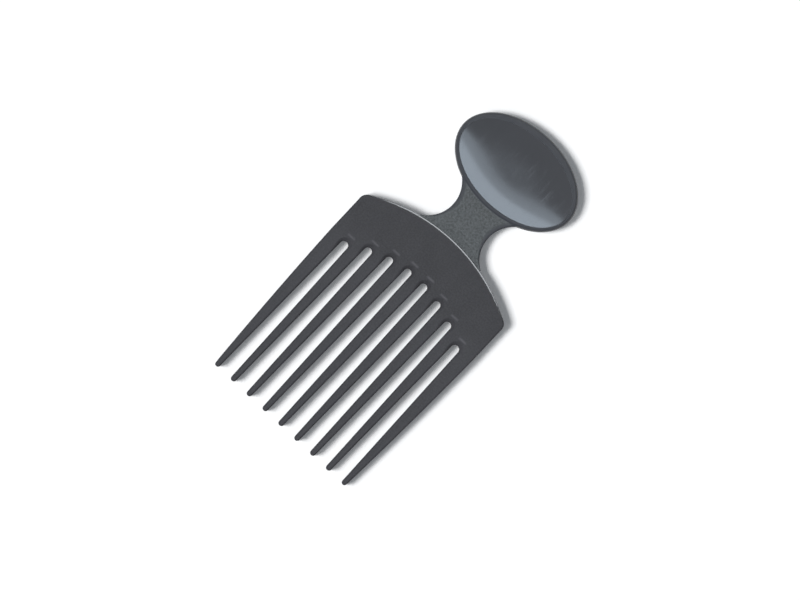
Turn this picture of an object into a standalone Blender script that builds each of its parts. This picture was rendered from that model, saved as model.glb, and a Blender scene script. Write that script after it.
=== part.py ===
import bmesh
import bpy
from math import acos, atan2, cos, hypot, pi, radians, sin, sqrt

# A flat pick comb with an oval thumb grip, modelled in metres.
# It lies on its rear face. +Y runs from the tine tips to the grip, +X across
# the tines and +Z out of the front face. The origin is under the middle of the
# comb, in the plane of its rear face.

# Comb head
TINE_COUNT = 9
TINE_ROOT_WIDTH = 0.0058
TINE_TIP_WIDTH = 0.00255
TINE_TIP_THICKNESS = 0.0036
SLOT_ROOT_WIDTH = 0.00303
TINE_REACH = 0.0824
OUTER_TINE_ROOT_WIDTH = 0.0069
OUTER_TINE_TIP_WIDTH = 0.0023
SIDE_BOW = 0.00035
SLOT_ROW_RADIUS = 0.0497
HEAD_DEPTH = 0.0201
HEAD_CREST_RADIUS = 0.0759
SHOULDER_RADIUS = 0.0035
HEAD_EDGE_RADIUS = 0.0007
RAMP_LENGTH = 0.0024
RAMP_DEPTH = 0.0014
RAMP_SPREAD = 0.00025
RAMP_WRAP = radians(20)
RIM_SETBACK = 0.0001
RIM_WIDTH = 0.0011
RIM_HEIGHT = 0.00012
RIM_SWEEP = radians(50)

# Handle
THICKNESS = 0.0048
NECK_LENGTH = 0.0193
NECK_WIDTH = 0.0202
NECK_SIDE_RADIUS = 0.014
NECK_WAIST_SHARE = 0.58
NECK_RECESS = 0.0004
NECK_EDGE_RADIUS = 0.0008
FOOT_END_HEIGHT = 0.001
GRIP_WIDTH = 0.0586
GRIP_LENGTH = 0.0382
GRIP_EDGE_RADIUS = 0.0012
SIDE_LIP = 0.0018
NEAR_LIP = 0.0022
FAR_LIP = 0.0032

# Tongue of the handle, and the head's socket round it
TONGUE_WIDTH = 0.024
TONGUE_LENGTH = 0.009
TONGUE_THICKNESS = 0.0016
TONGUE_CORNER_RADIUS = 0.002
ANCHOR_DIAMETER = 0.003
ANCHOR_SPREAD_SHARE = 0.3
ANCHOR_DEPTH_SHARE = 0.5

# Thumb dishes, and the web between them
WEB_THICKNESS = 0.0008
DISH_WALL = 0.0006
DISH_POWER = 3
PEG_DIAMETER = 0.003
FRONT_PEG_SHARE = 0.6
REAR_PEG_SHARE = 0.3

# Fits and cuts
FIT_GAP = 0.0003
OVERRUN = 0.0005

# Steps round each arc, and the angles that tell an edge from a curve
TIP_STEPS = 8
RAMP_STEPS = 11
SIDE_STEPS = 8
SHOULDER_STEPS = 6
CREST_STEPS = 36
NECK_STEPS = 24
GRIP_STEPS = 72
DISH_STEPS = 9
PEG_STEPS = 24
RIM_STEPS = 8
EDGE_STEPS = 3
SQUARE_EDGE = radians(60)
SMOOTH_ANGLE = radians(35)

# Colours, as linear red, green and blue
CHARCOAL = (0.073, 0.075, 0.083)
GLOSS_CHARCOAL = (0.058, 0.064, 0.072)

# Places along the comb
TIP_LINE = -(TINE_REACH + HEAD_DEPTH + NECK_LENGTH + GRIP_LENGTH) / 2
SLOT_CREST = TIP_LINE + TINE_REACH
HEAD_CREST = SLOT_CREST + HEAD_DEPTH
GRIP_FOOT = HEAD_CREST + NECK_LENGTH
GRIP_CENTRE = GRIP_FOOT + GRIP_LENGTH / 2
CREST_CENTRE = HEAD_CREST - HEAD_CREST_RADIUS
WAIST = HEAD_CREST + NECK_WAIST_SHARE * NECK_LENGTH
MIDDLE = THICKNESS / 2

# Places across the comb
PITCH = TINE_ROOT_WIDTH + SLOT_ROOT_WIDTH
SLOTS = [(slot - TINE_COUNT / 2 + 1) * PITCH for slot in range(TINE_COUNT - 1)]
NECK_SIDE_CENTRE = NECK_WIDTH / 2 + NECK_SIDE_RADIUS

# The hollow that each thumb dish fills
DISH_HALF_WIDTH = GRIP_WIDTH / 2 - SIDE_LIP
DISH_HALF_LENGTH = (GRIP_LENGTH - NEAR_LIP - FAR_LIP) / 2
DISH_CENTRE = GRIP_FOOT + NEAR_LIP + DISH_HALF_LENGTH
DISH_THICKNESS = (THICKNESS - WEB_THICKNESS) / 2 - FIT_GAP
WEB_FACES = (MIDDLE - WEB_THICKNESS / 2, MIDDLE + WEB_THICKNESS / 2)


def clear_scene():
    for item in list(bpy.data.objects):
        bpy.data.objects.remove(item, do_unlink=True)


def plastic(name, colour, roughness):
    material = bpy.data.materials.new(name)
    material.use_nodes = True
    shader = material.node_tree.nodes["Principled BSDF"]
    shader.inputs["Base Color"].default_value = (*colour, 1)
    shader.inputs["Roughness"].default_value = roughness
    shader.inputs["Metallic"].default_value = 0
    return material


def add_object(name, shape):
    bmesh.ops.recalc_face_normals(shape, faces=shape.faces)
    mesh = bpy.data.meshes.new(name)
    shape.to_mesh(mesh)
    shape.free()
    item = bpy.data.objects.new(name, mesh)
    bpy.context.scene.collection.objects.link(item)
    return item


def add_piece(name, shape, material):
    piece = add_object(name, shape)
    piece.data.shade_smooth()
    piece.data.set_sharp_from_angle(angle=SMOOTH_ANGLE)
    piece.data.materials.append(material)
    return piece


def combine(piece, operation, name, shape):
    tool = add_object(name, shape)
    tool.hide_render = True
    tool.display_type = "WIRE"
    step = piece.modifiers.new(name, "BOOLEAN")
    step.operation = operation
    step.solver = "EXACT"
    step.object = tool
    return tool


def loft(shape, rings):
    rows = [[shape.verts.new(point) for point in ring] for ring in rings]
    shape.faces.new(rows[0])
    shape.faces.new(rows[-1])
    for near, far in zip(rows, rows[1:]):
        for spot in range(len(near)):
            shape.faces.new((near[spot - 1], near[spot], far[spot], far[spot - 1]))


def slab(outline, low, high):
    shape = bmesh.new()
    add_slab(shape, outline, low, high)
    return shape


def add_slab(shape, outline, low, high):
    loft(shape, [[(x, y, z) for x, y in outline] for z in (low, high)])


def round_edges(shape, edges, radius):
    bmesh.ops.bevel(
        shape, geom=edges, offset=radius, offset_type="OFFSET", segments=EDGE_STEPS,
        profile=0.5, affect="EDGES", clamp_overlap=True)


def square_edges(shape):
    bmesh.ops.recalc_face_normals(shape, faces=shape.faces)
    return [edge for edge in shape.edges if edge.calc_face_angle() > SQUARE_EDGE]


def arc(x, y, radius, start, end, steps):
    turns = [start + (end - start) * step / steps for step in range(steps + 1)]
    return [(x + radius * cos(turn), y + radius * sin(turn)) for turn in turns]


def circle(x, y, radius, steps):
    return arc(x, y, radius, 0, 2 * pi, steps)[:-1]


def ellipse(y, half_width, half_length):
    return [(half_width * c, y + half_length * s) for c, s in circle(0, 0, 1, GRIP_STEPS)]


# Comb head

def half_slot(y):
    share = (SLOT_CREST - y) / TINE_REACH
    return (SLOT_ROOT_WIDTH + (TINE_ROOT_WIDTH - TINE_TIP_WIDTH) * share) / 2


def slot_end(x):
    return SLOT_CREST - x ** 2 / (2 * SLOT_ROW_RADIUS)


def side_line(y):
    start = slot_end(SLOTS[-1])
    wide = SLOTS[-1] + half_slot(SLOT_CREST) + OUTER_TINE_ROOT_WIDTH
    narrow = SLOTS[-1] + half_slot(TIP_LINE) + OUTER_TINE_TIP_WIDTH
    share = max(0, (start - y) / (start - TIP_LINE))
    return wide + (narrow - wide) * share + 4 * SIDE_BOW * share * (1 - share)


def tip_arc(left, right):
    radius = (right - left) / 2
    return arc(left + radius, TIP_LINE + radius, radius, pi, 2 * pi, TIP_STEPS)


def slot_arc(x):
    radius = half_slot(slot_end(x))
    return arc(x, slot_end(x) - radius, radius, pi, 0, TIP_STEPS)


def tine_row():
    gap = half_slot(TIP_LINE)
    lefts = [-side_line(TIP_LINE)] + [x + gap for x in SLOTS]
    rights = [x - gap for x in SLOTS] + [side_line(TIP_LINE)]
    points = tip_arc(lefts[0], rights[0])
    for x, left, right in zip(SLOTS, lefts[1:], rights[1:]):
        points += slot_arc(x) + tip_arc(left, right)
    return points


def head_side():
    top = slot_end(SLOTS[-1])
    rises = [TIP_LINE + (top - TIP_LINE) * step / SIDE_STEPS for step in range(1, SIDE_STEPS + 1)]
    return [(side_line(y), y) for y in rises]


def head_crown():
    inset = side_line(SLOT_CREST) - SHOULDER_RADIUS
    rise = sqrt((HEAD_CREST_RADIUS - SHOULDER_RADIUS) ** 2 - inset ** 2)
    turn = atan2(rise, inset)
    shoulder = arc(inset, CREST_CENTRE + rise, SHOULDER_RADIUS, 0, turn, SHOULDER_STEPS)
    crest = arc(0, CREST_CENTRE, HEAD_CREST_RADIUS, turn, pi - turn, CREST_STEPS)
    return shoulder[:-1] + crest + mirrored(shoulder[:-1])


def mirrored(points):
    return [(-x, y) for x, y in reversed(points)]


def thin_tines(shape):
    root = slot_end(SLOTS[-1]) - 2 * half_slot(SLOT_CREST)
    shape.normal_update()
    parts = list(shape.verts) + list(shape.edges) + list(shape.faces)
    bmesh.ops.bisect_plane(shape, geom=parts, plane_co=(0, root, 0), plane_no=(0, 1, 0))
    for vert in shape.verts:
        share = max(0, (root - vert.co.y) / (root - TIP_LINE))
        thickness = THICKNESS + (TINE_TIP_THICKNESS - THICKNESS) * share
        vert.co.z = MIDDLE + (vert.co.z - MIDDLE) * thickness / THICKNESS


def ramp_ring(x, depth, face, outward):
    end = slot_end(x)
    share = 1 - depth / RAMP_DEPTH
    half_width = half_slot(end) + RAMP_SPREAD * share
    reach = half_slot(end) + RAMP_LENGTH * share
    start = end - half_slot(end)
    unit = arc(0, 0, 1, -RAMP_WRAP, pi + RAMP_WRAP, RAMP_STEPS)
    return [(x + half_width * c, start + reach * s, face - outward * depth) for c, s in unit]


def slot_ramps():
    shape = bmesh.new()
    depths = (-OVERRUN, RAMP_DEPTH + OVERRUN)
    for x in SLOTS:
        for face, outward in ((THICKNESS, 1), (0, -1)):
            loft(shape, [ramp_ring(x, depth, face, outward) for depth in depths])
    bmesh.ops.triangulate(shape, faces=shape.faces)
    return shape


def rim_section(x, share):
    """Gives the low ridge past a ramp at one place, from -1 to 1 along the ridge."""
    end = slot_end(x)
    turn = pi / 2 - RIM_SWEEP * share
    crest = THICKNESS + RIM_HEIGHT * (1 - 2 * share ** 2)
    root = THICKNESS - 2 * RIM_HEIGHT
    half_width = half_slot(end) + RAMP_SPREAD + RIM_SETBACK
    reach = half_slot(end) + RAMP_LENGTH + RIM_SETBACK
    start = end - half_slot(end)
    section = ((0, root), (RIM_WIDTH / 2, crest), (RIM_WIDTH, root))
    wide, long = cos(turn), sin(turn)
    return [(x + (half_width + out) * wide, start + (reach + out) * long, z) for out, z in section]


def ramp_rims():
    shape = bmesh.new()
    shares = [2 * step / RIM_STEPS - 1 for step in range(RIM_STEPS + 1)]
    for x in SLOTS:
        loft(shape, [rim_section(x, share) for share in shares])
    bmesh.ops.triangulate(shape, faces=shape.faces)
    return shape


def anchor_places():
    y = HEAD_CREST - ANCHOR_DEPTH_SHARE * TONGUE_LENGTH
    return [(side * ANCHOR_SPREAD_SHARE * TONGUE_WIDTH, y) for side in (-1, 1)]


def columns(places, radius, low, high):
    shape = bmesh.new()
    for x, y in places:
        add_slab(shape, circle(x, y, radius, PEG_STEPS), low, high)
    return shape


def tongue_outline(gap):
    half = TONGUE_WIDTH / 2 + gap
    low = HEAD_CREST - TONGUE_LENGTH - gap
    radius = TONGUE_CORNER_RADIUS + gap
    corner = arc(half - radius, low + radius, radius, -pi / 2, 0, SHOULDER_STEPS)
    top = HEAD_CREST + FOOT_END_HEIGHT
    return mirrored(corner) + corner + [(half, top), (-half, top)]


def make_comb_head(material):
    shape = slab(tine_row() + head_side() + head_crown() + mirrored(head_side()), 0, THICKNESS)
    thin_tines(shape)
    round_edges(shape, square_edges(shape), HEAD_EDGE_RADIUS)
    head = add_piece("comb_head", shape, material)
    combine(head, "DIFFERENCE", "slot_ramp_cutter", slot_ramps())
    combine(head, "UNION", "ramp_rim_tool", ramp_rims())
    half = TONGUE_THICKNESS / 2 + FIT_GAP
    socket = slab(tongue_outline(FIT_GAP), MIDDLE - half, MIDDLE + half)
    combine(head, "DIFFERENCE", "socket_cutter", socket)
    reach = half + OVERRUN
    posts = columns(anchor_places(), ANCHOR_DIAMETER / 2, MIDDLE - reach, MIDDLE + reach)
    combine(head, "UNION", "anchor_post_tool", posts)


# Handle frame

def grip_level(point):
    x, y = point
    return hypot(x / (GRIP_WIDTH / 2), (y - GRIP_CENTRE) / (GRIP_LENGTH / 2))


def neck_outline():
    foot_radius = HEAD_CREST_RADIUS + FIT_GAP
    reach = foot_radius + FOOT_END_HEIGHT
    drop = WAIST - CREST_CENTRE
    apart = hypot(NECK_SIDE_CENTRE, drop)
    meet = (apart ** 2 + NECK_SIDE_RADIUS ** 2 - reach ** 2) / (2 * apart * NECK_SIDE_RADIUS)
    foot_turn = pi + atan2(drop, NECK_SIDE_CENTRE) - acos(min(1, meet))
    lower = arc(NECK_SIDE_CENTRE, WAIST, NECK_SIDE_RADIUS, foot_turn, pi, NECK_STEPS)
    upper = arc(NECK_SIDE_CENTRE, WAIST, NECK_SIDE_RADIUS, pi, pi / 2, NECK_STEPS)
    deepest = upper.index(min(upper, key=grip_level))
    side = lower + upper[1:deepest + 1]
    x, y = side[0]
    turn = atan2(y - CREST_CENTRE, x)
    foot = arc(0, CREST_CENTRE, foot_radius, pi - turn, turn, CREST_STEPS)
    return foot + side + [(0, GRIP_CENTRE)] + mirrored(side)


def is_neck_side(edge):
    foot = HEAD_CREST_RADIUS + FIT_GAP + FOOT_END_HEIGHT / 2
    return all(hypot(vert.co.x, vert.co.y - CREST_CENTRE) > foot for vert in edge.verts)


def neck_shape():
    shape = slab(neck_outline(), NECK_RECESS, THICKNESS - NECK_RECESS)
    edges = [edge for edge in square_edges(shape) if is_neck_side(edge)]
    round_edges(shape, edges, NECK_EDGE_RADIUS)
    return shape


def grip_shape():
    shape = slab(ellipse(GRIP_CENTRE, GRIP_WIDTH / 2, GRIP_LENGTH / 2), 0, THICKNESS)
    round_edges(shape, square_edges(shape), GRIP_EDGE_RADIUS)
    return shape


def dish_hollows():
    shape = bmesh.new()
    outline = ellipse(DISH_CENTRE, DISH_HALF_WIDTH, DISH_HALF_LENGTH)
    add_slab(shape, outline, -OVERRUN, WEB_FACES[0])
    add_slab(shape, outline, WEB_FACES[1], THICKNESS + OVERRUN)
    return shape


def peg_places(share):
    return [(side * share * DISH_HALF_WIDTH, DISH_CENTRE) for side in (-1, 1)]


def make_handle_frame(material):
    frame = add_piece("handle_frame", grip_shape(), material)
    half = TONGUE_THICKNESS / 2
    combine(frame, "UNION", "neck_tool", neck_shape())
    combine(frame, "UNION", "tongue_tool", slab(tongue_outline(0), MIDDLE - half, MIDDLE + half))
    combine(frame, "DIFFERENCE", "dish_hollow_cutter", dish_hollows())
    places = peg_places(FRONT_PEG_SHARE) + peg_places(REAR_PEG_SHARE)
    holes = columns(places, PEG_DIAMETER / 2 + FIT_GAP, 0, THICKNESS)
    combine(frame, "DIFFERENCE", "peg_hole_cutter", holes)
    anchors = columns(anchor_places(), ANCHOR_DIAMETER / 2 + FIT_GAP, 0, THICKNESS)
    combine(frame, "DIFFERENCE", "anchor_hole_cutter", anchors)


# Thumb dishes

def dish_ring(share, z):
    half_width = (DISH_HALF_WIDTH - FIT_GAP) * share
    half_length = (DISH_HALF_LENGTH - FIT_GAP) * share
    return [(x, y, z) for x, y in ellipse(DISH_CENTRE, half_width, half_length)]


def dish_shape():
    depth = DISH_THICKNESS - DISH_WALL
    shares = [1 - step / (DISH_STEPS + 1) for step in range(DISH_STEPS + 1)]
    hollow = [dish_ring(share, DISH_THICKNESS - depth * (1 - share ** DISH_POWER)) for share in shares]
    shape = bmesh.new()
    loft(shape, [dish_ring(1, 0)] + hollow)
    return shape


def make_thumb_dish(name, material, share, seat, turn):
    dish = add_piece(name, dish_shape(), material)
    pegs = columns(peg_places(share), PEG_DIAMETER / 2, -FIT_GAP - WEB_THICKNESS, DISH_WALL / 2)
    tool = combine(dish, "UNION", name + "_peg_tool", pegs)
    for item in (dish, tool):
        item.location.z = seat
        item.rotation_euler.y = turn


clear_scene()
satin = plastic("satin_charcoal", CHARCOAL, 0.5)
gloss = plastic("gloss_charcoal", GLOSS_CHARCOAL, 0.2)
make_comb_head(satin)
make_handle_frame(satin)
make_thumb_dish("front_thumb_dish", gloss, FRONT_PEG_SHARE, WEB_FACES[1] + FIT_GAP, 0)
make_thumb_dish("rear_thumb_dish", gloss, REAR_PEG_SHARE, WEB_FACES[0] - FIT_GAP, pi)
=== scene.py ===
from math import acos, atan2, cos, hypot, pi, radians, sin, sqrt, tan

import bmesh
import bpy
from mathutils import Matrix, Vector
from mathutils.geometry import delaunay_2d_cdt


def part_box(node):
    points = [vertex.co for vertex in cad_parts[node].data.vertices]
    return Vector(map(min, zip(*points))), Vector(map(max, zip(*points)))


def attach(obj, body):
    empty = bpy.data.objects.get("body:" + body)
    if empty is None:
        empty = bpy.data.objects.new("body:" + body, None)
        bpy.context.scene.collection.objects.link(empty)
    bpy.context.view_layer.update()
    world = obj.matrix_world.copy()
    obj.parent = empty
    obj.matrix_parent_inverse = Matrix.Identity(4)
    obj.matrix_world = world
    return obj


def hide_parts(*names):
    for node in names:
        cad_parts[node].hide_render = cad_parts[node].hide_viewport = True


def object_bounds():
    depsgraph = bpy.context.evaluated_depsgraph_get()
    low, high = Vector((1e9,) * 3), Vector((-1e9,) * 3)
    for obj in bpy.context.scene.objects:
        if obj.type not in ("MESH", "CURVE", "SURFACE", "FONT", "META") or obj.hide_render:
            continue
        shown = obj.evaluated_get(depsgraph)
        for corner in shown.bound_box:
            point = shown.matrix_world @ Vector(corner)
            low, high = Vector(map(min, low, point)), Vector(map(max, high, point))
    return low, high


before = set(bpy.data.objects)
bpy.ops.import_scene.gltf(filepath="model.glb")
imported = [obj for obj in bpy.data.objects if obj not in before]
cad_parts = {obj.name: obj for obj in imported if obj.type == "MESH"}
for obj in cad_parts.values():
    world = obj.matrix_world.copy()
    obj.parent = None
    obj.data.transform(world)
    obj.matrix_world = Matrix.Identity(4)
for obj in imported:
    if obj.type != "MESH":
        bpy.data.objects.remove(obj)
cad_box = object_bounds()

# The looks of a flat pick comb, in metres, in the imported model's own place.
# Each face of the moulding is a fine sheet of triangles whose height is a
# function of its place, so that edges, ramps and ridges are real shape.

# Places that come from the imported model
head_low, head_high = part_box("comb_head")
grip_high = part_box("handle_frame")[1]
dish_low, dish_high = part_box("front_thumb_dish")
TIP_LINE = head_low.y
HEAD_CREST = head_high.y
THICKNESS = grip_high.z
MIDDLE = THICKNESS / 2
GRIP_HALF_WIDTH = grip_high.x
DISH_GROWTH = 0.00035
DISH_HALF_WIDTH = dish_high.x + DISH_GROWTH
DISH_HALF_LENGTH = (dish_high.y - dish_low.y) / 2 + DISH_GROWTH
DISH_CENTRE = (dish_high.y + dish_low.y) / 2

# Comb head
TINE_COUNT = 9
TINE_ROOT_WIDTH = 0.0056
TINE_TIP_WIDTH = 0.00245
TINE_TIP_THICKNESS = 0.0036
SLOT_ROOT_WIDTH = 0.00323
TINE_REACH = 0.0826
OUTER_TINE_ROOT_WIDTH = 0.0068
OUTER_TINE_TIP_WIDTH = 0.00225
SIDE_BOW = 0.00035
SLOT_ROW_RADIUS = 0.0497
CREST_RADIUS = 0.07616
CREST_RISE = 0.0005
SHOULDER_RADIUS = 0.0035
HEAD_EDGE_RADIUS = 0.0007
CREST_EDGE_RADIUS = 0.00008
CREST_LAND_WIDTH = 0.00045
CREST_LAND_DROP = 0.00006
CREST_LAND_FADE = 0.0064
CREST_WORN_TAPER = 0.25
RAMP_LENGTH = 0.0019
RAMP_DEPTH = 0.0007
RAMP_SPREAD = 0.0014
RAMP_POWER = 1.5
RAMP_FADE = 0.006
RIDGE_SETBACK = 0.0001
RIDGE_WIDTH = 0.0016
RIDGE_HEIGHT = 0.0001
RIDGE_REACH = 0.0021
RIDGE_END_POWER = 4

# Neck and grip
NECK_LENGTH = 0.0193
NECK_WIDTH = 0.0199
NECK_SIDE_RADIUS = 0.014
NECK_WAIST_SHARE = 0.58
NECK_RECESS = 0.0004
NECK_EDGE_RADIUS = 0.0006
# the neck's border is a smooth band without grain, whose dark colour is painted shade of the rounded
# sides
NECK_BORDER = 0.0022
BORDER_START = 0.012
BORDER_POWER = 3
FOOT_END_HEIGHT = 0.0005
FOOT_EDGE_SHARE = 0.2
GRIP_LENGTH = 0.0382
GRIP_EDGE_RADIUS = 0.0012
LIP_INNER_RADIUS = 0.00008
NECK_MEETS_LIP = 0.00008
FOOT_RAMP_LENGTH = 0.0009
FOOT_RAMP_RISE = 0.0002
LIP_CROWN_WIDTH = 0.0034
LIP_CROWN_FALL = 0.00007
LIP_WORN_WIDTH = 0.0006

# Thumb dishes
DISH_DEPTH = 0.0011
DISH_POWER = 3.5
DISH_EDGE_RADIUS = 0.00004
DISH_LAND_WIDTH = 0.00002
WEB_THICKNESS = 0.0008
FIT_GAP = 0.0003

# Mould line round the sides
LINE_HEIGHT = 0.00012
LINE_PROUD = 0.00004

# Shared by the faces: the gap beside a neighbour, the land past an edge and a narrow margin
SEAM = 0.00004
LAND_WIDTH = 0.0001
MARGIN = 0.00012

# Fineness, and the rows of points that are added where a face bends
LONGEST_STEP = 0.0009
ARC_STEPS = 22
CREST_STEPS = 120
GRIP_STEPS = 240
EDGE_STEPS = 6
LAND_STEPS = 2
SPOT_STEPS = 20
SPOT_ROWS = 12
SPOT_SPREAD = 0.0024
SPOT_LENGTH = 0.0041
BORDER_ROWS = 6
BORDER_STRIDE = 2
BORDER_CLEARANCE = 0.0005
ROWS_OUTSIDE_LIP = 2
DISH_RINGS = 44
CREASE_ANGLE = radians(40)
SMALLEST_LEVEL = 0.01  # keeps a division sound at the middle of an oval
SAME_POINT = 1e-7
TRIANGLES_INSIDE = 1  # an output type of the triangulation

# Colours, as linear red, green and blue
SATIN = (0.0236, 0.0238, 0.0270)
SATIN_TINT = (0.92, 0.96, 1)
LIP = (0.0310, 0.0345, 0.0420)
GRAIN = (0.0718, 0.0805, 0.0860)
GLOSS = (0.0335, 0.0325, 0.0355)
GLOSS_TINT = (0.74, 0.87, 1)
FLOOR = (0.925, 0.925, 0.925)
WHITE = (1, 1, 1)

# Finishes: the size of each noise in metres, and the pair of values that it runs between
SATIN_CLOUD = 0.012
SATIN_CLOUD_SHADES = (0.88, 1.12)
SATIN_SPECK = 0.0007
SATIN_SPECK_SPAN = (0.35, 0.65)
SATIN_SPECK_SHARES = (0, 0.8)
SATIN_SPECK_SHADE = 1.4
# how much lighter the ridges past the slots' ends are painted: a painted highlight on their far flanks
RIDGE_PAINTED_HIGHLIGHT = 2.7
TINE_PALENESS = 1.45
TINE_PALENESS_REACH = 0.01
PALER_TINE_SHADES = (0.9 * TINE_PALENESS, 1.15 * TINE_PALENESS)
SATIN_PATCH = 0.006
SATIN_ROUGHNESS = (0.5, 0.62)
SATIN_SPECULAR = 0.2
WORN_ROUGHNESS = (0.22, 0.28)
WORN_SPECULAR = 0.8
SATIN_WAVE = 0.018
SATIN_WAVE_DEPTH = 0.00006
MOULD_TEXTURE = 0.00035
MOULD_TEXTURE_DEPTH = 0.000012
GRAIN_PORE = 0.0009
GRAIN_PORE_SPAN = (0.3, 0.7)
GRAIN_SHADES = (0.66, 1.38)
GRAIN_DEPTH = 0.00019
GRAIN_PATCH = 0.004
GRAIN_ROUGHNESS = (0.46, 0.62)
GRAIN_SPECULAR = 0.2
GLOSS_CLOUD = 0.02
GLOSS_CLOUD_SHADES = (0.9, 1.1)
GLOSS_PATCH = 0.008
GLOSS_ROUGHNESS = (0.1, 0.15)
GLOSS_SPECULAR = 0.5
GLOSS_WAVE = 0.009
GLOSS_WAVE_DEPTH = 0.000008
GLOSS_RIPPLE = 0.0003
GLOSS_RIPPLE_DEPTH = 0.000001
SCRATCH_SIZE = 0.0006
SCRATCH_SPAN = (0.58, 0.72)
SCRATCH_ROUGHNESS = (0, 0.12)
SCRATCH_TURN = radians(35)
SCRATCH_STRETCH = 0.05
BROAD = 1  # detail of a noise without a fine part
FINE = 3  # detail of a noise with one

# Lamps, which hang between two tilts off the vertical, and the room
LAMP_DISTANCE = 16
WATTS_PER_LEVEL = pi
KEY_BEARING = radians(228)
KEY_LOW = radians(32)
KEY_HIGH = radians(54)
KEY_BREADTH = radians(24)
KEY_LEVEL = 22.6
FILL_BEARING = radians(262)
FILL_LOW = radians(30)
FILL_HIGH = radians(60)
FILL_BREADTH = radians(40)
FILL_LEVEL = 0.7
FAR_BEARING = radians(90)
FAR_LOW = radians(3.9)
FAR_HIGH = radians(33)
FAR_BREADTH = radians(56)
FAR_LEVEL = 3.7
STRIP_LOW = radians(10.4)
STRIP_LEVEL = 3.4
ROOM_LEVEL = 0.15
ROOM_TINT = (0.9, 0.95, 1)
FLOOR_SIZE = 2.2
FLOOR_LIFT = 0.115

# Camera
PHOTO_TURN = radians(43.15)
PHOTO_CENTRE = (0.00096, -0.00934)
PHOTO_WIDTH = 0.3248
LENS = 200
SENSOR = 36

# Places worked out from the above
SLOT_CREST = TIP_LINE + TINE_REACH
GRIP_CENTRE = HEAD_CREST + NECK_LENGTH + GRIP_LENGTH / 2
CREST_CENTRE = HEAD_CREST + CREST_RISE - CREST_RADIUS
WAIST = HEAD_CREST + NECK_WAIST_SHARE * NECK_LENGTH
PITCH = TINE_ROOT_WIDTH + SLOT_ROOT_WIDTH
SLOTS = [(slot - TINE_COUNT / 2 + 1) * PITCH for slot in range(TINE_COUNT - 1)]
NECK_SIDE_CENTRE = NECK_WIDTH / 2 + NECK_SIDE_RADIUS
SHOULDER_INSET = head_high.x - SHOULDER_RADIUS
SHOULDER_FOOT = CREST_CENTRE + sqrt((CREST_RADIUS - SHOULDER_RADIUS) ** 2 - SHOULDER_INSET ** 2)
LIP_START = GRIP_EDGE_RADIUS - sqrt(GRIP_EDGE_RADIUS ** 2 - (GRIP_EDGE_RADIUS - NECK_RECESS) ** 2)
HOLE_HALF_WIDTH = DISH_HALF_WIDTH + SEAM
HOLE_HALF_LENGTH = DISH_HALF_LENGTH + SEAM


# Lines in the plane of the comb

def arc(x, y, radius, start, end, steps):
    turns = [start + (end - start) * step / steps for step in range(steps + 1)]
    return [(x + radius * cos(turn), y + radius * sin(turn)) for turn in turns]


def ellipse(y, half_width, half_length, steps):
    unit = arc(0, 0, 1, 0, 2 * pi, steps)[:-1]
    return [(half_width * c, y + half_length * s) for c, s in unit]


def mirrored(points):
    return [(-x, y) for x, y in reversed(points)]


def divided(points, longest):
    """Adds points along a closed line so that no step is longer than the longest."""
    fine = []
    for (x, y), (far_x, far_y) in zip(points, points[1:] + points[:1]):
        count = int(hypot(far_x - x, far_y - y) / longest) + 1
        steps = [step / count for step in range(count)]
        fine += [(x + (far_x - x) * s, y + (far_y - y) * s) for s in steps]
    return fine


def inward(points):
    """Gives the unit direction into the material at each point of an anticlockwise line."""
    ways = []
    for before, after in zip(points[-1:] + points[:-1], points[1:] + points[:1]):
        along = Vector(after) - Vector(before)
        along.normalize()
        ways.append((-along.y, along.x))
    return ways


# Comb head

def half_slot(y):
    share = (SLOT_CREST - y) / TINE_REACH
    return (SLOT_ROOT_WIDTH + (TINE_ROOT_WIDTH - TINE_TIP_WIDTH) * share) / 2


def slot_end(x):
    return SLOT_CREST - x ** 2 / (2 * SLOT_ROW_RADIUS)


def side_line(y):
    """Gives half the width across the tines, whose sides bow out by SIDE_BOW at their middle."""
    start = slot_end(SLOTS[-1])
    wide = SLOTS[-1] + half_slot(SLOT_CREST) + OUTER_TINE_ROOT_WIDTH
    narrow = SLOTS[-1] + half_slot(TIP_LINE) + OUTER_TINE_TIP_WIDTH
    share = max(0, (start - y) / (start - TIP_LINE))
    return wide + (narrow - wide) * share + 4 * SIDE_BOW * share * (1 - share)


def tip_arc(left, right):
    radius = (right - left) / 2
    return arc(left + radius, TIP_LINE + radius, radius, pi, 2 * pi, ARC_STEPS)


def slot_arc(x):
    radius = half_slot(slot_end(x))
    return arc(x, slot_end(x) - radius, radius, pi, 0, ARC_STEPS)


def tine_row():
    gap = half_slot(TIP_LINE)
    lefts = [-side_line(TIP_LINE)] + [x + gap for x in SLOTS]
    rights = [x - gap for x in SLOTS] + [side_line(TIP_LINE)]
    points = tip_arc(lefts[0], rights[0])
    for x, left, right in zip(SLOTS, lefts[1:], rights[1:]):
        points += slot_arc(x) + tip_arc(left, right)
    return points


def head_side():
    top = slot_end(SLOTS[-1])
    rises = [TIP_LINE + (top - TIP_LINE) * (step + 1) / ARC_STEPS for step in range(ARC_STEPS)]
    return [(side_line(y), y) for y in rises]


def head_crown():
    inset = side_line(SLOT_CREST) - SHOULDER_RADIUS
    turn = atan2(SHOULDER_FOOT - CREST_CENTRE, inset)
    shoulder = arc(inset, SHOULDER_FOOT, SHOULDER_RADIUS, 0, turn, ARC_STEPS)
    crest = arc(0, CREST_CENTRE, CREST_RADIUS, turn, pi - turn, CREST_STEPS)
    return shoulder[:-1] + crest + mirrored(shoulder[:-1])


def head_outline():
    return divided(tine_row() + head_side() + head_crown() + mirrored(head_side()), LONGEST_STEP)


def half_thickness(y):
    root = slot_end(SLOTS[-1]) - 2 * half_slot(SLOT_CREST)
    share = max(0, (root - y) / (root - TIP_LINE))
    return (THICKNESS + (TINE_TIP_THICKNESS - THICKNESS) * share) / 2


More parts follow.
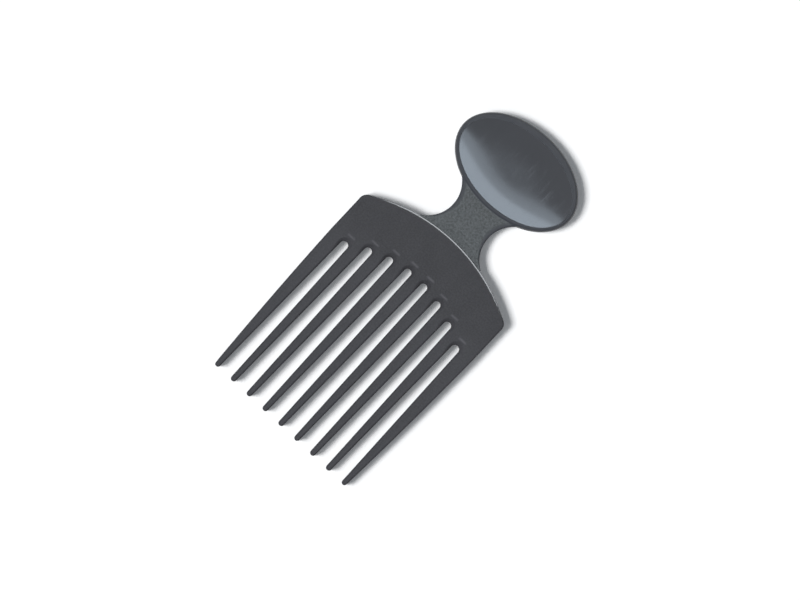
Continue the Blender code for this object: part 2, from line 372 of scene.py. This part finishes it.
def slot_place(x, y):
    """Gives the radius of the nearest slot's end, and the place seen from that arc's centre."""
    slot = min(SLOTS, key=lambda middle: abs(middle - x))
    radius = half_slot(slot_end(slot))
    return radius, x - slot, y - slot_end(slot) + radius


def ramp_depth(x, y):
    """Gives how far the ramp round each slot's end lies below the face."""
    radius, across, along = slot_place(x, y)
    if along < -RAMP_FADE:
        return 0
    turn = atan2(max(along, 0), abs(across))
    edge = 1 / hypot(cos(turn) / (radius + RAMP_SPREAD), sin(turn) / (radius + RAMP_LENGTH))
    share = (hypot(across, max(along, 0)) - radius) / (edge - radius)
    fade = min(1, 1 + along / RAMP_FADE)
    return RAMP_DEPTH * min(1, max(0, 1 - share)) ** RAMP_POWER * fade


def ridge_rise(x, y):
    """Gives the height of the low ridge past each slot's end."""
    radius, across, along = slot_place(x, y)
    out = (along - radius - RAMP_LENGTH - RIDGE_SETBACK) / RIDGE_WIDTH
    side = across / RIDGE_REACH
    if not 0 < out < 1 or abs(side) > 1:
        return 0
    return RIDGE_HEIGHT * sin(pi * out) ** 2 * (1 - side ** RIDGE_END_POWER)


def head_edge(x, y):
    """Gives the edge's radius, its land's width and the land's fall, which is nil off the crown."""
    crown = min(1, max(0, (y - SHOULDER_FOOT - SHOULDER_RADIUS) / CREST_LAND_FADE))
    radius = HEAD_EDGE_RADIUS + (CREST_EDGE_RADIUS - HEAD_EDGE_RADIUS) * crown
    land = LAND_WIDTH + (CREST_LAND_WIDTH - LAND_WIDTH) * crown
    return radius, land, CREST_LAND_DROP * crown ** 2


def head_height(x, y, drop, front):
    """Gives the height over the middle plane: the face, less its rounded edge and the ramps."""
    rise = ridge_rise(x, y) if front else 0
    return half_thickness(y) + rise - hypot(drop, ramp_depth(x, y))


def slot_spots():
    """Places points round the slots' ends, where the ramp and the ridge bend the face."""
    spots = []
    for x in SLOTS:
        radius = half_slot(slot_end(x))
        start = slot_end(x) - radius
        for share in [(step + 1) / SPOT_STEPS for step in range(SPOT_STEPS)]:
            ring = arc(0, 0, 1, 0, pi, ARC_STEPS)
            wide = radius + SPOT_SPREAD * share
            long = radius + SPOT_LENGTH * share
            spots += [
                (x + wide * c, start + long * s) for c, s in ring
                if hypot(wide * c, long * s) > radius + HEAD_EDGE_RADIUS + MARGIN]
            rows = [start - RAMP_FADE * (row + 1) / SPOT_ROWS for row in range(SPOT_ROWS)]
            spots += [
                (x + way * wide, y) for y in rows for way in (-1, 1)
                if wide > half_slot(y) + HEAD_EDGE_RADIUS + MARGIN]
    return spots


# Neck and grip

def grip_level(point):
    x, y = point
    return hypot(x / GRIP_HALF_WIDTH, (y - GRIP_CENTRE) / (GRIP_LENGTH / 2))


def inside_ellipse(x, y, centre, half_width, half_length):
    """Gives how far a place lies inside an ellipse's edge, close to that edge."""
    level = hypot(x / half_width, (y - centre) / half_length)
    slope = hypot(x / half_width ** 2, (y - centre) / half_length ** 2) / max(level, SMALLEST_LEVEL)
    return (1 - level) / slope if slope else half_length


def neck_side():
    """Gives the neck's right side, an arc from the tip of the foot to where it enters the oval."""
    reach = CREST_RADIUS + SEAM + FOOT_END_HEIGHT
    drop = WAIST - CREST_CENTRE
    apart = hypot(NECK_SIDE_CENTRE, drop)
    meet = (apart ** 2 + NECK_SIDE_RADIUS ** 2 - reach ** 2) / (2 * apart * NECK_SIDE_RADIUS)
    foot_turn = pi + atan2(drop, NECK_SIDE_CENTRE) - acos(min(1, meet))
    side = arc(NECK_SIDE_CENTRE, WAIST, NECK_SIDE_RADIUS, foot_turn, pi / 2, CREST_STEPS)
    entry = [grip_level(point) < 1 for point in side].index(True)
    return side[:entry]


def grip_outline():
    side = neck_side()
    x, y = side[0]
    turn = atan2(y - CREST_CENTRE, x)
    foot = arc(0, CREST_CENTRE, CREST_RADIUS + SEAM, pi - turn, turn, CREST_STEPS)
    x, y = side[-1]
    join = atan2((y - GRIP_CENTRE) / (GRIP_LENGTH / 2), x / GRIP_HALF_WIDTH)
    unit = arc(0, 0, 1, join, pi - join, GRIP_STEPS)[1:-1]
    oval = [(GRIP_HALF_WIDTH * c, GRIP_CENTRE + GRIP_LENGTH / 2 * s) for c, s in unit]
    return divided(foot + side + oval + mirrored(side), LONGEST_STEP / 2)


def grip_edge(x, y):
    """Gives the edge's radius, its land's width and the land's fall, from the foot to the lip."""
    foot = hypot(x, y - CREST_CENTRE) - CREST_RADIUS - SEAM
    if foot < FOOT_END_HEIGHT / 2:
        return LIP_INNER_RADIUS, LAND_WIDTH, 0
    out = (grip_level((x, y)) - 1) * GRIP_LENGTH / 2
    share = min(1, max(0, out / GRIP_EDGE_RADIUS))
    radius = GRIP_EDGE_RADIUS + (NECK_EDGE_RADIUS - GRIP_EDGE_RADIUS) * share
    return min(radius, FOOT_EDGE_SHARE * foot), LAND_WIDTH, 0


def hole_edge(x, y):
    """Gives the same for the hole that the dish sits in."""
    return LIP_INNER_RADIUS, LAND_WIDTH, 0


def dish_edge(x, y):
    return DISH_EDGE_RADIUS, DISH_LAND_WIDTH, 0


def grip_height(x, y, drop, front):
    """Gives the higher of the recessed neck and the lip, with a small fillet where they meet."""
    foot = hypot(x, y - CREST_CENTRE) - CREST_RADIUS - SEAM
    rise = max(0, 1 - foot / FOOT_RAMP_LENGTH)
    neck = FOOT_RAMP_RISE * rise ** 2 - NECK_RECESS - drop
    inside = inside_ellipse(x, y, GRIP_CENTRE, GRIP_HALF_WIDTH, GRIP_LENGTH / 2)
    if inside < -MARGIN:
        return MIDDLE + neck
    short = max(0, GRIP_EDGE_RADIUS - max(0, inside))
    lip = sqrt(GRIP_EDGE_RADIUS ** 2 - short ** 2) - GRIP_EDGE_RADIUS
    lip -= LIP_CROWN_FALL * max(0, 1 - inside / LIP_CROWN_WIDTH) ** 2
    if y > GRIP_CENTRE:
        return MIDDLE + lip
    hole = inside_ellipse(x, y, DISH_CENTRE, HOLE_HALF_WIDTH, HOLE_HALF_LENGTH)
    lip -= drop if hole > -2 * LIP_INNER_RADIUS else 0
    blend = hypot(lip - neck, NECK_MEETS_LIP)
    return MIDDLE + (lip + neck + blend) / 2 - NECK_MEETS_LIP / 2


def lip_spots():
    """Places points along the step where the neck runs into the lip."""
    spots = []
    for row in range(-ROWS_OUTSIDE_LIP, 2 * EDGE_STEPS + 1):
        inset = row * GRIP_EDGE_RADIUS / EDGE_STEPS / 2
        oval = ellipse(GRIP_CENTRE, GRIP_HALF_WIDTH - inset, GRIP_LENGTH / 2 - inset, GRIP_STEPS)
        spots += [(x, y) for x, y in oval if y < GRIP_CENTRE and abs(x) < NECK_SIDE_CENTRE]
    return spots


def neck_spots():
    """Places rows of points beside the neck's edges, where its border fades into the grain."""
    spots = []
    nearest = NECK_EDGE_RADIUS + 2 * LAND_WIDTH
    for row in range(BORDER_ROWS + 1):
        inset = nearest + (NECK_BORDER - nearest) * row / BORDER_ROWS
        scale = 1 + inset / NECK_SIDE_RADIUS
        for side_x, side_y in neck_side()[::BORDER_STRIDE]:
            x = NECK_SIDE_CENTRE + (side_x - NECK_SIDE_CENTRE) * scale
            y = WAIST + (side_y - WAIST) * scale
            foot = hypot(x, y - CREST_CENTRE) - CREST_RADIUS
            lip = (grip_level((x, y)) - 1) * GRIP_LENGTH / 2
            if foot > FOOT_RAMP_LENGTH and lip > BORDER_CLEARANCE:
                spots += [(x, y), (-x, y)]
    return spots


# Solid pieces

def edge_rings(points, edge_at):
    """Gives rows of (x, y, drop) from an outline inwards: round an edge, over a land and just past it."""
    ways = inward(points)
    edges = [edge_at(x, y) for x, y in points]
    rings = []
    for step in range(EDGE_STEPS + LAND_STEPS + 2):
        turn = pi / 2 * min(1, step / EDGE_STEPS)
        past = max(0, step - EDGE_STEPS) / LAND_STEPS
        ring = []
        for (x, y), (way_x, way_y), (radius, land, fall) in zip(points, ways, edges):
            inset = radius * (1 - cos(turn)) + land * past
            drop = radius * (1 - sin(turn)) + fall * max(0, 1 - past)
            ring.append((x + way_x * inset, y + way_y * inset, drop))
        rings.append(ring)
    return rings


def join_rings(shape, near, far):
    for spot in range(len(near)):
        shape.faces.new((near[spot - 1], near[spot], far[spot], far[spot - 1]))


def sheet_between(shape, rings, spots, place):
    """Fills the flat inside the first ring, less a round hole in the second, with triangles."""
    flat, edges = [], []
    for ring in rings:
        first = len(flat)
        flat += [(vert.co.x, vert.co.y) for vert in ring]
        edges += [(first + n, first + (n + 1) % len(ring)) for n in range(len(ring))]
    verts = [vert for ring in rings for vert in ring]
    hole = {vert for ring in rings[1:] for vert in ring}
    found = delaunay_2d_cdt(
        [Vector(point) for point in flat + spots], edges, [], TRIANGLES_INSIDE, SAME_POINT)
    points, _, faces, sources = found[:4]
    corners = []
    for point, source in zip(points, sources):
        known = [number for number in source if number < len(verts)]
        corners.append(verts[known[0]] if known else shape.verts.new(place(point.x, point.y)))
    for face in faces:
        ends = [corners[n] for n in face]
        if not hole.issuperset(ends):
            shape.faces.new(ends)
    for vert in [vert for vert in corners if not vert.link_faces]:
        shape.verts.remove(vert)


def face_rings(shape, outline, height, edge_at, front):
    side = 1 if front else -1
    rows = []
    for ring in edge_rings(outline, edge_at):
        places = [(x, y, MIDDLE + side * height(x, y, drop, front)) for x, y, drop in ring]
        rows.append([shape.verts.new(place) for place in places])
    for near, far in zip(rows, rows[1:]):
        join_rings(shape, near, far)
    return rows


def mould_line(shape, front_row, rear_row, outline):
    """Joins the two faces down the side, with a fine proud line at mid height."""
    ways = inward(outline)
    rows = [front_row]
    for share, inset in ((1, LINE_PROUD), (0, 0), (-1, LINE_PROUD)):
        row = []
        z = MIDDLE + share * LINE_HEIGHT
        for (x, y), (way_x, way_y) in zip(outline, ways):
            row.append(shape.verts.new((x + way_x * inset, y + way_y * inset, z)))
        rows.append(row)
    rows.append(rear_row)
    for near, far in zip(rows, rows[1:]):
        join_rings(shape, near, far)


def finish_piece(name, shape, material, slot, *nodes):
    bmesh.ops.recalc_face_normals(shape, faces=shape.faces)
    mesh = bpy.data.meshes.new(name)
    shape.to_mesh(mesh)
    shape.free()
    mesh.shade_smooth()
    mesh.set_sharp_from_angle(angle=CREASE_ANGLE)
    mesh.materials.append(material)
    piece = bpy.data.objects.new(name, mesh)
    bpy.context.scene.collection.objects.link(piece)
    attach(piece, "root")
    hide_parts(*nodes)
    return piece


def set_mask(piece, name, value_at):
    mask = piece.data.attributes.new(name, "FLOAT", "POINT")
    mask.data.foreach_set("value", [value_at(*vert.co) for vert in piece.data.vertices])


def make_head(material, worn_material):
    shape = bmesh.new()
    outline = head_outline()
    rows = {}
    for front in (True, False):
        side = 1 if front else -1
        rows[front] = face_rings(shape, outline, head_height, head_edge, front)
        sheet_between(
            shape, [rows[front][-1]], slot_spots(),
            lambda x, y: (x, y, MIDDLE + side * head_height(x, y, 0, front)))
    mould_line(shape, rows[True][0], rows[False][0], outline)
    head = finish_piece("head_and_tines", shape, material, "satin_charcoal", "comb_head")
    set_mask(head, "ridge", lambda x, y, z: ridge_rise(x, y) / RIDGE_HEIGHT if z > MIDDLE else 0)
    wear_faces(head, worn_material, crown_worn)


def make_grip(material, worn_material):
    shape = bmesh.new()
    outline = grip_outline()
    hole = ellipse(DISH_CENTRE, HOLE_HALF_WIDTH, HOLE_HALF_LENGTH, GRIP_STEPS)
    hole.reverse()
    rows = {}
    for front in (True, False):
        side = 1 if front else -1
        rows[front] = face_rings(shape, outline, grip_height, grip_edge, front)
        inner = face_rings(shape, hole, grip_height, hole_edge, front)
        web = [shape.verts.new((x, y, MIDDLE + side * WEB_THICKNESS / 2)) for x, y in hole]
        join_rings(shape, web, inner[0])
        shape.faces.new(web)
        sheet_between(
            shape, [rows[front][-1], inner[-1]], lip_spots() + neck_spots(),
            lambda x, y: (x, y, MIDDLE + side * grip_height(x, y, 0, front)))
    mould_line(shape, rows[True][0], rows[False][0], outline)
    grip = finish_piece("neck_and_grip", shape, material, "grained_charcoal", "handle_frame")
    corner = neck_side()[-1][0]
    set_mask(grip, "grain", lambda x, y, z: neck_share(x, y, corner))
    wear_faces(grip, worn_material, lambda x, y, z: lip_worn(x, y, z, corner))


def wear_faces(piece, material, is_worn):
    """Gives the faces that hands polish their own finish."""
    piece.data.materials.append(material)
    for face in piece.data.polygons:
        face.material_index = int(is_worn(*face.center))


def crown_worn(x, y, z):
    """Tells the rim of the crown, which narrows towards the shoulders."""
    radius, land, fall = head_edge(x, y)
    inset = CREST_RADIUS - hypot(x, y - CREST_CENTRE)
    share = (fall / CREST_LAND_DROP) ** CREST_WORN_TAPER
    return inset < (radius + land) * share and abs(z - MIDDLE) > MIDDLE - radius - fall


def lip_worn(x, y, z, corner):
    """Tells the rim of the oval, but for the part where the neck runs into it."""
    inside = inside_ellipse(x, y, GRIP_CENTRE, GRIP_HALF_WIDTH, GRIP_LENGTH / 2)
    edge = -MARGIN < inside < LIP_WORN_WIDTH and abs(z - MIDDLE) > MIDDLE - GRIP_EDGE_RADIUS
    return edge and (y > GRIP_CENTRE or abs(x) > corner)


def neck_share(x, y, corner):
    """Gives 1 on the neck's faces, and 0 on its border, on the lip and round the oval's wall; on the
    border the darker lip colour is painted shade of the neck's rounded sides.
    """
    inside = inside_ellipse(x, y, GRIP_CENTRE, GRIP_HALF_WIDTH, GRIP_LENGTH / 2)
    if inside > -MARGIN and (y > GRIP_CENTRE or abs(x) > corner):
        return 0
    share = min(1, max(0, 1 - (inside - LIP_START) / MARGIN))
    foot = hypot(x, y - CREST_CENTRE) - CREST_RADIUS
    width = NECK_BORDER * min(1, foot / BORDER_START)
    border = hypot(abs(x) - NECK_SIDE_CENTRE, y - WAIST) - NECK_SIDE_RADIUS
    return share * min(1, max(0, border / width)) ** BORDER_POWER


def make_dish(name, node, material, front):
    """Makes a dish with a hollow face, a fine edge, and a flat back towards the web."""
    side = 1 if front else -1
    low = MIDDLE + side * (WEB_THICKNESS / 2 + FIT_GAP)
    high = MIDDLE + side * MIDDLE
    outline = ellipse(DISH_CENTRE, DISH_HALF_WIDTH, DISH_HALF_LENGTH, GRIP_STEPS)
    shape = bmesh.new()
    rows = [[shape.verts.new((x, y, low)) for x, y in outline]]
    for ring in edge_rings(outline, dish_edge):
        rows.append([shape.verts.new((x, y, high - side * drop)) for x, y, drop in ring])
    for share in [1 - (step + 1) / DISH_RINGS for step in range(DISH_RINGS - 1)]:
        depth = DISH_DEPTH * (1 - share ** DISH_POWER)
        ring = ellipse(
            DISH_CENTRE, (DISH_HALF_WIDTH - DISH_EDGE_RADIUS - 2 * DISH_LAND_WIDTH) * share,
            (DISH_HALF_LENGTH - DISH_EDGE_RADIUS - 2 * DISH_LAND_WIDTH) * share, GRIP_STEPS)
        rows.append([shape.verts.new((x, y, high - side * depth)) for x, y in ring])
    for near, far in zip(rows, rows[1:]):
        join_rings(shape, near, far)
    shape.faces.new(rows[0])
    middle = shape.verts.new((0, DISH_CENTRE, high - side * DISH_DEPTH))
    for spot in range(GRIP_STEPS):
        shape.faces.new((rows[-1][spot - 1], rows[-1][spot], middle))
    finish_piece(name, shape, material, "gloss_charcoal", node)


# Finishes

class Finish:
    """A plastic whose colour, roughness and relief come from nodes."""

    def __init__(self, name, specular):
        self.material = bpy.data.materials.new(name)
        self.material.use_nodes = True
        self.nodes = self.material.node_tree.nodes
        self.links = self.material.node_tree.links
        self.shader = self.nodes["Principled BSDF"]
        self.shader.inputs["Specular IOR Level"].default_value = specular
        self.place = self.nodes.new("ShaderNodeTexCoord").outputs["Object"]
        self.relief = None

    def noise(self, size, detail=2, place=None):
        node = self.nodes.new("ShaderNodeTexNoise")
        node.inputs["Scale"].default_value = 1 / size
        node.inputs["Detail"].default_value = detail
        self.links.new(self.place if place is None else place, node.inputs["Vector"])
        return node.outputs["Fac"]

    def ranged(self, value, result=(0, 1), span=(0, 1)):
        """Spreads the span of a value over the result, and holds it at the ends."""
        node = self.nodes.new("ShaderNodeMapRange")
        node.inputs["From Min"].default_value, node.inputs["From Max"].default_value = span
        node.inputs["To Min"].default_value, node.inputs["To Max"].default_value = result
        self.links.new(value, node.inputs["Value"])
        return node.outputs["Result"]

    def along(self, start, end):
        """Gives 0 at one place along the comb and 1 at another."""
        node = self.nodes.new("ShaderNodeSeparateXYZ")
        self.links.new(self.place, node.inputs["Vector"])
        return self.ranged(node.outputs["Y"], span=(start, end))

    def combined(self, operation, value, other):
        node = self.nodes.new("ShaderNodeMath")
        node.operation = operation
        self.links.new(value, node.inputs[0])
        self.links.new(other, node.inputs[1])
        return node.outputs["Value"]

    def scratches(self):
        """Gives the added roughness of fine hairlines that run one way."""
        mapping = self.nodes.new("ShaderNodeMapping")
        mapping.inputs["Rotation"].default_value = (0, 0, SCRATCH_TURN)
        mapping.inputs["Scale"].default_value = (1, SCRATCH_STRETCH, 1)
        self.links.new(self.place, mapping.inputs["Vector"])
        lines = self.noise(SCRATCH_SIZE, place=mapping.outputs["Vector"])
        return self.ranged(lines, SCRATCH_ROUGHNESS, SCRATCH_SPAN)

    def mixed(self, share, first, second):
        node = self.nodes.new("ShaderNodeMix")
        node.data_type = "RGBA"
        self.links.new(share, node.inputs["Factor"])
        for name, value in (("A", first), ("B", second)):
            socket = [s for s in node.inputs if s.name == name and s.type == "RGBA"][0]
            if isinstance(value, tuple):
                socket.default_value = (*value, 1)
            else:
                self.links.new(value, socket)
        return [s for s in node.outputs if s.type == "RGBA"][0]

    def clouded(self, share, colour, shades):
        """Gives a colour that runs from one shade of it to another."""
        return self.mixed(share, shaded(colour, shades[0]), shaded(colour, shades[1]))

    def mask(self, name):
        node = self.nodes.new("ShaderNodeAttribute")
        node.attribute_name = name
        return node.outputs["Fac"]

    def bump(self, height, depth):
        node = self.nodes.new("ShaderNodeBump")
        node.inputs["Distance"].default_value = depth
        self.links.new(height, node.inputs["Height"])
        if self.relief:
            self.links.new(self.relief, node.inputs["Normal"])
        self.relief = node.outputs["Normal"]
        self.links.new(self.relief, self.shader.inputs["Normal"])

    def colour(self, value):
        self.links.new(value, self.shader.inputs["Base Color"])

    def roughness(self, value):
        self.links.new(value, self.shader.inputs["Roughness"])


def shaded(colour, shade):
    return tuple(channel * shade for channel in colour)


def satin_finish(name, specular, roughness):
    finish = Finish(name, specular)
    cloud = finish.clouded(finish.noise(SATIN_CLOUD), SATIN, SATIN_CLOUD_SHADES)
    speck = finish.ranged(finish.noise(SATIN_SPECK, FINE), SATIN_SPECK_SHARES, SATIN_SPECK_SPAN)
    plain = finish.mixed(speck, cloud, shaded(SATIN, SATIN_SPECK_SHADE))
    # the tines are paler than the head, growing paler over the first centimetre below the slots' ends and
    # staying so out to the tips
    paler_tines = finish.clouded(speck, SATIN, PALER_TINE_SHADES)
    tines = finish.mixed(finish.along(SLOT_CREST, SLOT_CREST - TINE_PALENESS_REACH), plain, paler_tines)
    # the ridges past the slots' ends take a far lighter colour, a painted highlight
    finish.colour(finish.mixed(finish.mask("ridge"), tines, shaded(SATIN, RIDGE_PAINTED_HIGHLIGHT)))
    finish.roughness(finish.ranged(finish.noise(SATIN_PATCH), roughness))
    finish.shader.inputs["Specular Tint"].default_value = (*SATIN_TINT, 1)
    finish.bump(finish.noise(SATIN_WAVE, BROAD), SATIN_WAVE_DEPTH)
    finish.bump(finish.noise(MOULD_TEXTURE, FINE), MOULD_TEXTURE_DEPTH)
    return finish.material


def grained_finish():
    finish = Finish("grained_charcoal_plastic", GRAIN_SPECULAR)
    grain = finish.mask("grain")
    pores = finish.ranged(finish.noise(GRAIN_PORE, FINE), span=GRAIN_PORE_SPAN)
    # the lip's colour also fills the neck's smooth border, where it is painted shade along the neck's
    # rounded sides
    finish.colour(finish.mixed(grain, LIP, finish.clouded(pores, GRAIN, GRAIN_SHADES)))
    finish.roughness(finish.ranged(finish.noise(GRAIN_PATCH), GRAIN_ROUGHNESS))
    finish.bump(finish.combined("MULTIPLY", pores, grain), GRAIN_DEPTH)
    finish.bump(finish.noise(MOULD_TEXTURE, FINE), MOULD_TEXTURE_DEPTH)
    return finish.material


def gloss_finish():
    finish = Finish("gloss_charcoal_plastic", GLOSS_SPECULAR)
    finish.shader.inputs["Specular Tint"].default_value = (*GLOSS_TINT, 1)
    finish.colour(finish.clouded(finish.noise(GLOSS_CLOUD), GLOSS, GLOSS_CLOUD_SHADES))
    smooth = finish.ranged(finish.noise(GLOSS_PATCH), GLOSS_ROUGHNESS)
    finish.roughness(finish.combined("ADD", smooth, finish.scratches()))
    finish.bump(finish.noise(GLOSS_WAVE, BROAD), GLOSS_WAVE_DEPTH)
    finish.bump(finish.noise(GLOSS_RIPPLE), GLOSS_RIPPLE_DEPTH)
    return finish.material


# Stage

def softbox(name, bearing, low, high, breadth, level):
    """Hangs a soft lamp over the comb, from a low to a high tilt off the vertical.

    Bearing is from +X towards +Y, and breadth is how wide the lamp looks from the comb.
    """
    tilt = (low + high) / 2
    width = 2 * LAMP_DISTANCE * tan(breadth / 2)
    length = 2 * LAMP_DISTANCE * tan((high - low) / 2)
    data = bpy.data.lights.new(name, "AREA")
    data.shape = "RECTANGLE"
    data.size = width
    data.size_y = length
    data.energy = level * width * length * WATTS_PER_LEVEL
    lamp = bpy.data.objects.new(name, data)
    way = Vector((sin(tilt) * cos(bearing), sin(tilt) * sin(bearing), cos(tilt)))
    lamp.location = way * LAMP_DISTANCE
    lamp.rotation_euler = way.to_track_quat("Z", "Y").to_euler()
    lamp.visible_camera = False
    bpy.context.scene.collection.objects.link(lamp)
    return lamp


def seen_directly(nodes, links):
    """Gives 1 for what the camera sees straight, in gloss or through something clear."""
    path = nodes.new("ShaderNodeLightPath")
    total = path.outputs["Is Camera Ray"]
    for name in ("Is Glossy Ray", "Is Transmission Ray"):
        node = nodes.new("ShaderNodeMath")
        node.operation = "MAXIMUM"
        links.new(total, node.inputs[0])
        links.new(path.outputs[name], node.inputs[1])
        total = node.outputs["Value"]
    return total


def make_room():
    world = bpy.data.worlds.new("pale_room")
    world.use_nodes = True
    bpy.context.scene.world = world
    nodes, links = world.node_tree.nodes, world.node_tree.links
    room = nodes["Background"]
    room.inputs["Color"].default_value = (*ROOM_TINT, 1)
    room.inputs["Strength"].default_value = ROOM_LEVEL
    backdrop = nodes.new("ShaderNodeBackground")
    backdrop.inputs["Color"].default_value = (*WHITE, 1)
    choice = nodes.new("ShaderNodeMixShader")
    links.new(seen_directly(nodes, links), choice.inputs["Fac"])
    links.new(room.outputs["Background"], choice.inputs[1])
    links.new(backdrop.outputs["Background"], choice.inputs[2])
    links.new(choice.outputs["Shader"], nodes["World Output"].inputs["Surface"])


def make_floor():
    shape = bmesh.new()
    half = FLOOR_SIZE / 2
    corners = ((-half, -half, 0), (half, -half, 0), (half, half, 0), (-half, half, 0))
    shape.faces.new([shape.verts.new(corner) for corner in corners])
    mesh = bpy.data.meshes.new("floor")
    shape.to_mesh(mesh)
    shape.free()
    floor = bpy.data.objects.new("floor", mesh)
    floor.location.z = cad_box[0].z
    material = bpy.data.materials.new("pale_floor")
    material.use_nodes = True
    nodes, links = material.node_tree.nodes, material.node_tree.links
    shader = nodes["Principled BSDF"]
    shader.inputs["Base Color"].default_value = (*FLOOR, 1)
    shader.inputs["Roughness"].default_value = 1
    shader.inputs["Specular IOR Level"].default_value = 0
    shader.inputs["Emission Color"].default_value = (*ROOM_TINT, 1)
    lift = nodes.new("ShaderNodeMapRange")
    lift.inputs["To Max"].default_value = FLOOR_LIFT
    links.new(seen_directly(nodes, links), lift.inputs["Value"])
    links.new(lift.outputs["Result"], shader.inputs["Emission Strength"])
    mesh.materials.append(material)
    bpy.context.scene.collection.objects.link(floor)


def make_camera():
    data = bpy.data.cameras.new("photo_camera")
    data.lens = LENS
    data.sensor_width = SENSOR
    camera = bpy.data.objects.new("photo_camera", data)
    camera.location = (*PHOTO_CENTRE, THICKNESS + PHOTO_WIDTH * LENS / SENSOR)
    camera.rotation_euler.z = PHOTO_TURN
    bpy.context.scene.collection.objects.link(camera)
    bpy.context.scene.camera = camera


make_camera()
satin = satin_finish("satin_charcoal_plastic", SATIN_SPECULAR, SATIN_ROUGHNESS)
worn = satin_finish("worn_charcoal_plastic", WORN_SPECULAR, WORN_ROUGHNESS)
gloss = gloss_finish()
make_head(satin, worn)
make_grip(grained_finish(), worn)
make_dish("front_dish", "front_thumb_dish", gloss, True)
make_dish("rear_dish", "rear_thumb_dish", gloss, False)
make_floor()
make_room()

# The key and the fill light the comb, and the far lamps show in its gloss alone
key = softbox("key_softbox", KEY_BEARING, KEY_LOW, KEY_HIGH, KEY_BREADTH, KEY_LEVEL)
fill = softbox("fill_softbox", FILL_BEARING, FILL_LOW, FILL_HIGH, FILL_BREADTH, FILL_LEVEL)
key.visible_glossy = fill.visible_glossy = False
for name, low, level in (("far_softbox", FAR_LOW, FAR_LEVEL), ("far_strip", STRIP_LOW, STRIP_LEVEL)):
    softbox(name, FAR_BEARING, low, FAR_HIGH, FAR_BREADTH, level).visible_diffuse = False
bpy.context.scene.view_settings.view_transform = "Standard"
